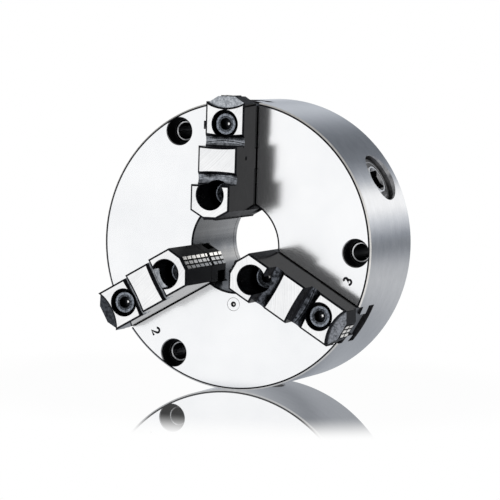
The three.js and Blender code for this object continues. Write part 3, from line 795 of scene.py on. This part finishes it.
def master_jaw(index, angle):
    nose = NOSE_R + NOSE_TOOTH
    outline = mirrored([(nose, NOSE_HALF + NOSE_TOOTH * NOSE_SLOPE), (NOSE_SHOULDER, JAW_HALF),
                        (54.2, JAW_HALF), (54.8, JAW_HALF - 0.6)])
    jaw = prism("master", outline, -14.2, 1.7)
    necks = [prism("neck", box_outline(9, 57, side * NECK_HALF, side * 12), -10.3, -3.9)
             for side in (-1, 1)]
    keyway = prism("keyway", box_outline(KEY_START - KEY_PLAY, KEY_END + KEY_PLAY, -9, 9), 0, 5)
    carved(jaw, necks + [keyway] + scroll_gaps(angle))
    # painted shade: the nose near black and the jaw darker than its grey tail end
    painted(jaw, [(SHADE_BLACK, lambda c, n: c.x < NOSE_SHOULDER - 0.1 and c.z > -11),
                  (TAIL, lambda c, n: c.x > 54), (MASTER_SHADE, always)])
    toothed(jaw, serrations(nose + 0.05, NOSE_R - 0.05, -11.0, 1.5, TOOTH_TOP))
    placed(jaw, f"master_jaw_{index + 1}_finish", face_frame(angle), f"jaw_{index + 1}",
           f"master_jaw_{index + 1}")


def jaw_screw(kind, r, seat, index, angle):
    top = seat + 5
    head = [(2.5, -6.5), (2.5, seat + 0.3), (4.25, seat + 0.3), (4.25, top - 0.45)]
    # the inner heads are dished, the outer ones domed
    if kind == "inner":
        head += [(4.1, top), (3.75, top - 0.13), (3.2, top - 0.13)]
    else:
        head += [(3.95, top - 0.15), (3.1, top)]
    screw = rod("screw", head, (r, 0), 72)
    hexagon = [(x + r, y) for x, y in ring_outline(4.0 / math.sqrt(3), 6, 0.3)]
    tools = [prism("hex", hexagon, top - 2.7, top + 1),
             rod("point", [(0.3, top - 3.1), (0.55, top - 2.8), (0.6, top - 2.5)], (r, 0), 24),
             rod("lead", [(1.9, top - 0.4), (2.35, top + 0.05), (2.35, top + 1)], (r, 0), 48)]
    spots = [(x + r, y) for x, y in ring_outline(4.32, 36)]
    grooves = [rod("knurl", [(0.16, seat + 0.6), (0.16, top - 0.6)], spot, 6) for spot in spots]
    carved(screw, tools + [joined(grooves[0], grooves[1:])])
    painted(screw, [
        (SCREW_RING, lambda c, n: 0.9 < n.z < 0.995 and top - 0.24 < c.z < top - 0.01),
        (SCREW_TOP, lambda c, n: n.z > 0.995 and c.z > top - 0.3),
        # painted glint at the bottom of the hex socket
        (BALL_AND_GLINT, lambda c, n: n.z > 0.1 and c.z < top - 2.72 and math.hypot(c.x - r, c.y) < 0.62),
        (OXIDE_AND_SHADE, always)])
    name = f"jaw_screw_{kind}_{index + 1}"
    placed(screw, name + "_finish", face_frame(angle), f"jaw_{index + 1}", name)


# ------------------------------------------------------------------ pinions, cover, small parts
def gear_outline():
    """Pinion teeth where the bevel gear is half way along; they run to the point where the axes cross."""
    module = 2 * PITCH_R / TEETH
    pressure = math.radians(25)
    base = PITCH_R * math.cos(pressure)
    tip, root = PITCH_R + 0.85 * module, PITCH_R - 0.7 * module - GAP

    def involute(a):
        return math.tan(a) - a

    def half_angle(r):
        turn = involute(pressure) - involute(math.acos(min(1.0, base / r)))
        return math.pi / 2 / TEETH - 0.1 / PITCH_R + turn

    middle = (base + tip) / 2
    flank = [(root, half_angle(base))]
    flank += [(r, half_angle(r)) for r in (base, middle - 0.4, middle + 0.4, tip)]
    points = []
    for k in range(TEETH):
        a = math.pi / 2 + (k + 0.5) * 2 * math.pi / TEETH
        points += [(r, a - half) for r, half in flank] + [(r, a + half) for r, half in flank[::-1]]
    return [(r * math.cos(a), r * math.sin(a)) for r, a in points]


def bevel_teeth():
    """Toothed end that tapers towards the chuck's axis."""
    gear = gear_outline()
    n = len(gear)
    vertices = [(x * z / MESH_R, y * z / MESH_R, z) for z in (34.0, 43.6) for x, y in gear]
    faces = [tuple(range(n))[::-1], tuple(range(n, 2 * n))]
    faces += [(i, (i + 1) % n, n + (i + 1) % n, n + i) for i in range(n)]
    return make("teeth", vertices, faces)


def square_outline(half, corner):
    """Square with rounded corners."""
    points = []
    for sx, sy, start in ((1, 1, 0), (-1, 1, 90), (-1, -1, 180), (1, -1, 270)):
        for step in range(5):
            a = math.radians(start + 22.5 * step)
            x, y = corner * math.cos(a), corner * math.sin(a)
            points.append((sx * (half - corner) + x, sy * (half - corner) + y))
    return points


def pinion(index, angle):
    end = PINION_END
    # shank with a groove for its retaining screw, a turned line and a raised ring round the socket
    part = rod("pinion", [
        (9.2, 44.9), (9.2, 48.0), (7.9, 48.0), (7.9, 51.0), (9.2, 51.0), (9.2, end - 0.8),
        (8.8, end - 0.4), (7.7, end - 0.4), (7.55, end - 0.55), (7.25, end - 0.55), (7.1, end - 0.4),
        (5.75, end - 0.4), (5.4, end), (4.88, end)], (0, 0), 96)
    combined(part, [rod("neck", [(5, 42.6), (5, 45.9)], (0, 0), 48), bevel_teeth(),
                    rod("spigot", [(2.7, 22), (3, 22.3), (3, 35)], (0, 0), 48)], "UNION")
    carved(part, [prism("square", square_outline(3.7, 1.1), end - 11, end + 1),
                  rod("lead", [(3.9, end - 1.0), (4.85, end + 0.02), (4.85, end + 1)], (0, 0), 72)])

    def away(c):
        return math.hypot(c.x, c.y)

    painted(part, [
        (PINION_EDGE, lambda c, n: 4.83 < away(c) < 5.7 and c.z > end - 0.35 and n.z > 0.1),
        (MOUTH, lambda c, n: 7.1 < away(c) < 7.8 and end - 0.56 < c.z < end - 0.41),
        # painted shade on the walls of the square socket
        (SHADE_BLACK, lambda c, n: away(c) < 5.2 and 42 < c.z < end - 0.9 and abs(n.z) < 0.5),
        (MOUTH, lambda c, n: away(c) < 4.84 and c.z > end - 1.05 and n.z > 0.2),
        (PINION, always)])
    name = f"pinion_{index + 1}"
    placed(part, name + "_finish", pinion_frame(angle), name, name)


def rear_cover():
    z0 = -LENGTH
    cover = revolve("cover", [
        (BORE_R, z0 + 5.5), (45.3, z0 + 5.5), (45.3, z0 + 0.4), (44.9, z0), (40.3, z0), (40.0, z0 + 0.3),
        (40.0, z0 + 2.0), (BORE_R + 0.6, z0 + 2.0), (BORE_R, z0 + 2.6)], 192)
    sink = [(1.75, -10), (1.75, -3.6), (3.2, -2.0), (3.2, 1)]
    spots = [rear_frame(60 * k, COVER_SCREW_R) for k in range(6)]
    carved(cover, [rod("countersink", sink, (0, 0), 40, HOME.inverted() @ spot) for spot in spots])
    painted(cover, [(BORE_SHADED, lambda c, n: math.hypot(c.x, c.y) < BORE_R + 0.1), (COVER, always)])
    placed(cover, "rear_cover_finish", HOME, "chuck", "rear_cover")
    countersunk = [(1.45, -9), (1.45, -3.6), (2.85, -2.3), (2.85, -2.2)]
    for k, spot in enumerate(spots):
        rear_screw(f"cover_screw_{k + 1}", countersunk, 40, -3.3, spot)
    dog = [(1.2, -7.3), (1.2, -5.5), (2.0, -5.5), (2.0, -0.6), (1.75, -0.3)]
    for k, angle in enumerate(PINION_ANGLES):
        rear_screw(f"pinion_screw_{k + 1}", dog, 32, -2.6, rear_frame(angle, PIN_SCREW_R))


def rear_screw(name, profile, segments, socket, spot):
    """Black screw let into the rear, with a hexagon socket down to the height socket."""
    screw = rod("screw", profile, (0, 0), segments)
    carved(screw, [prism("hex", ring_outline(1.15, 6), socket, 1)])
    painted(screw, [(OXIDE_AND_SHADE, always)])
    placed(screw, name + "_finish", spot, "chuck", name)


def oiler():
    ring = revolve("oiler", [(1.0, -0.08), (1.08, 0.0), (2.46, 0.0), (2.52, -0.06), (2.52, -6.4),
                             (1.5, -6.4), (1.5, -1.1), (0.9, -1.1), (0.9, -0.3)], 64,
                   Matrix.Translation((OILER_R, 0, 0)))
    pin = rod("pin", [(0.9, -0.8), (0.9, -0.55), (0.42, -0.5), (0.36, -0.3), (0.24, -0.24)],
              (OILER_R, 0), 32)
    painted(ring, [
        (FACE, lambda c, n: n.z > 0.9 and math.hypot(c.x - OILER_R, c.y) > 1.0),
        # painted shade in the oiler's hole
        (RECESS_SHADE, lambda c, n: math.hypot(c.x - OILER_R, c.y) < 1.04), (EDGE, always)])
    # the pin uses the ring's slots: painted shade low down, bright edge on its tip
    for material in ring.data.materials:
        pin.data.materials.append(material)
    for face in pin.data.polygons:
        face.material_index = 2 if face.center.z > -0.4 else 1
    joined(ring, [pin])
    placed(ring, "oiler_body_finish", face_frame(OILER_ANGLE), "chuck", "oiler_body")


chuck_body()
for number, jaw_angle in enumerate(JAW_ANGLES):
    top_jaw(number, jaw_angle)
    master_jaw(number, jaw_angle)
    for screw_kind, screw_r, screw_seat in SCREWS:
        jaw_screw(screw_kind, screw_r, screw_seat, number, jaw_angle)
for number, pinion_angle in enumerate(PINION_ANGLES):
    pinion(number, pinion_angle)
rear_cover()
oiler()

# the CAD pieces that still show: scroll, oiler ball and spring
for node_name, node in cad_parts.items():
    if not node.hide_render:
        node.data.materials.clear()
        node.data.materials.append(BALL_AND_GLINT if node_name == "oiler_ball" else SPARE)


# ------------------------------------------------------------------ floor, light, camera
def fill_ramp(ramp, stops):
    """Grey levels from (position, value) pairs; the darker ones lean to blue."""
    while len(ramp.elements) > 1:
        ramp.elements.remove(ramp.elements[0])
    for i, (position, value) in enumerate(stops):
        stop = ramp.elements[0] if i == 0 else ramp.elements.new(position)
        stop.position = position
        tint = 0.155 * max(0.0, 1 - value)
        stop.color = (value * (1 - tint), value * (1 - tint * 0.4), value * (1 + tint * 0.6), 1)


def floor():
    """White floor that mirrors the chuck close by; metres. It glows instead of being lit, so its shade
    near the chuck is painted.
    """
    size = 3.0
    z = body_low.z
    corners = [(-size, -size, z), (size, -size, z), (size, size, z), (-size, size, z)]
    obj = make("floor", corners, [(0, 1, 2, 3)])
    material = bpy.data.materials.new("pale_floor")
    material.use_nodes = True
    material.node_tree.nodes.clear()
    n = Nodes(material.node_tree)
    out = n.add("ShaderNodeOutputMaterial")
    shown = n.add("ShaderNodeEmission", Color=(1, 1, 1, 1), Strength=1.0)
    gloss = n.add("ShaderNodeBsdfGlossy", Color=(0.98, 0.98, 0.98, 1), Roughness=0.0)
    mirror = n.add("ShaderNodeMixShader")
    place = n.add("ShaderNodeTexCoord")
    away = n.add("ShaderNodeVectorMath", operation="DISTANCE")
    away.inputs[1].default_value = (0.0, -0.03, z)
    n.link(place.outputs["Object"], away.inputs[0])
    grazing = n.add("ShaderNodeLayerWeight", Blend=0.5)
    fade = n.step(away.outputs["Value"], 0.085, 0.14, 0.95, 0.0)
    share = n.math("MULTIPLY", fade, n.step(grazing.outputs["Facing"], 0.6, 0.85))
    n.link(share, mirror.inputs["Fac"])
    n.link(shown.outputs["Emission"], mirror.inputs[1])
    n.link(gloss.outputs["BSDF"], mirror.inputs[2])
    # what the steel sees of the floor: a glow at full brightness in front, a painted shadow close to the
    # chuck, dimmer behind it and darker far off to the left
    split = n.add("ShaderNodeSeparateXYZ")
    n.link(place.outputs["Object"], split.inputs["Vector"])
    x, y = split.outputs["X"], split.outputs["Y"]
    near, far = -0.3, 0.9
    ramp = n.add("ShaderNodeValToRGB")
    levels = ((near, 1.0), (-0.07, 1.0), (-0.035, 0.45), (-0.016, 0.32), (-0.003, 0.45), (0.012, 0.5),
              (0.04, 0.48), (0.1, 0.7), (0.16, 0.76), (0.27, 0.69), (0.45, 0.48), (0.63, 0.4),
              (far, 0.36))
    fill_ramp(ramp.color_ramp, [((v - near) / (far - near), level) for v, level in levels])
    n.link(n.range(y, near, far), ramp.inputs["Fac"])
    left = n.math("MAXIMUM", n.step(x, -0.3, -0.16, 0.06, 1.0), n.step(y, 0.0, 0.12, 1.0, 0.0))
    right = n.math("MAXIMUM", n.step(x, 0.02, 0.22, 1.04, 0.5), n.step(y, -0.35, -0.2, 0.0, 1.04))
    glow = n.add("ShaderNodeEmission")
    n.link(n.math("MULTIPLY", left, right), glow.inputs["Strength"])
    n.link(ramp.outputs["Color"], glow.inputs["Color"])
    path = n.add("ShaderNodeLightPath")
    mix = n.add("ShaderNodeMixShader")
    n.link(path.outputs["Is Camera Ray"], mix.inputs["Fac"])
    n.link(glow.outputs["Emission"], mix.inputs[1])
    n.link(mirror.outputs["Shader"], mix.inputs[2])
    n.link(mix.outputs["Shader"], out.inputs["Surface"])
    obj.data.materials.append(material)


def studio():
    """World that the camera sees as white and the steel sees as soft boxes and dark flags."""
    world = bpy.data.worlds.new("studio")
    bpy.context.scene.world = world
    world.use_nodes = True
    tree = world.node_tree
    tree.nodes.clear()
    n = Nodes(tree)
    place = n.add("ShaderNodeTexCoord")
    split = n.add("ShaderNodeSeparateXYZ")
    n.link(place.outputs["Generated"], split.inputs["Vector"])
    x, y, z = (split.outputs[k] for k in "XYZ")

    # behind the chuck, shown by the rim: levels by the angle round the bore axis,
    # 0 on the right and 90 overhead
    brightest = 1.6
    behind = n.step(y, 0.62, 0.86)
    turn = n.math("ARCTAN2", z, x)
    ramp = n.add("ShaderNodeValToRGB")
    levels = ((0, 0.45), (12.7, 1.03), (24.7, 1.55), (37, 1.55), (48.7, 0.72), (60.7, 0.385),
              (72.7, 0.25), (84.7, 0.235), (96.7, 0.25), (108.7, 0.38), (120.7, 0.6), (132.7, 0.78),
              (144.7, 0.76), (157, 0.5), (168, 0.85), (180, 1.0))
    fill_ramp(ramp.color_ramp, [(a / 180, v / brightest) for a, v in levels])
    n.link(n.range(turn, 0.0, math.pi), ramp.inputs["Fac"])
    # sides: a bright band round the horizon, softer overhead, a dark flag behind on the left
    band = n.step(z, 0.35, 0.7, 0.96, 0.5)
    flag = n.math("MULTIPLY", n.step(x, -0.8, -0.6, 0.75, 0.0), n.step(y, 0.15, 0.3))
    sides = n.math("MULTIPLY", band, n.math("SUBTRACT", 1.0, flag))
    # in front: a screen that the ground face mirrors, brightest to the left
    ahead = n.step(y, -0.8, -0.45, 1.0, 0.0)
    screen = n.math("MULTIPLY", n.step(x, -0.05, 0.35, 1.05, 0.55), n.step(z, 0.2, 0.45, 1.0, 0.4))
    rest = n.math("MULTIPLY", n.math("SUBTRACT", 1.0, ahead), sides)
    front = n.math("ADD", n.math("MULTIPLY", ahead, screen), rest)
    blend = n.add("ShaderNodeMix", data_type="RGBA")
    colour_a, colour_b, result = blend.inputs[6], blend.inputs[7], blend.outputs[2]
    n.link(behind, blend.inputs["Factor"])
    n.link(n.math("DIVIDE", front, brightest), colour_a)
    n.link(ramp.outputs["Color"], colour_b)
    seen = n.add("ShaderNodeBackground", Color=(1, 1, 1, 1), Strength=1.0)
    lit = n.add("ShaderNodeBackground", Strength=brightest)
    n.link(result, lit.inputs["Color"])
    path = n.add("ShaderNodeLightPath")
    mix = n.add("ShaderNodeMixShader")
    out = n.add("ShaderNodeOutputWorld")
    plain = n.math("MAXIMUM", path.outputs["Is Camera Ray"], path.outputs["Is Singular Ray"])
    n.link(plain, mix.inputs["Fac"])
    n.link(lit.outputs["Background"], mix.inputs[1])
    n.link(seen.outputs["Background"], mix.inputs[2])
    n.link(mix.outputs["Shader"], out.inputs["Surface"])


def camera():
    """Long lens to the right of the chuck's front, slightly above it, with a small roll."""
    data = bpy.data.cameras.new("camera")
    data.sensor_width, data.lens = 36, 196.2
    data.clip_start, data.clip_end = 0.05, 50
    obj = bpy.data.objects.new("camera", data)
    bpy.context.scene.collection.objects.link(obj)
    bpy.context.scene.camera = obj
    aim, distance = Vector((0.0006, -0.0309, -0.0024)), 1.06
    azimuth, elevation, roll = math.radians(23.604), math.radians(4.572), math.radians(1.607)
    turn = Matrix.Rotation(azimuth, 4, "Z") @ Matrix.Rotation(math.pi / 2 - elevation, 4, "X")
    turn = turn @ Matrix.Rotation(roll, 4, "Z")
    obj.matrix_world = Matrix.Translation(aim) @ turn @ Matrix.Translation((0, 0, distance))


floor()
studio()
camera()
bpy.context.scene.view_settings.view_transform = "Standard"
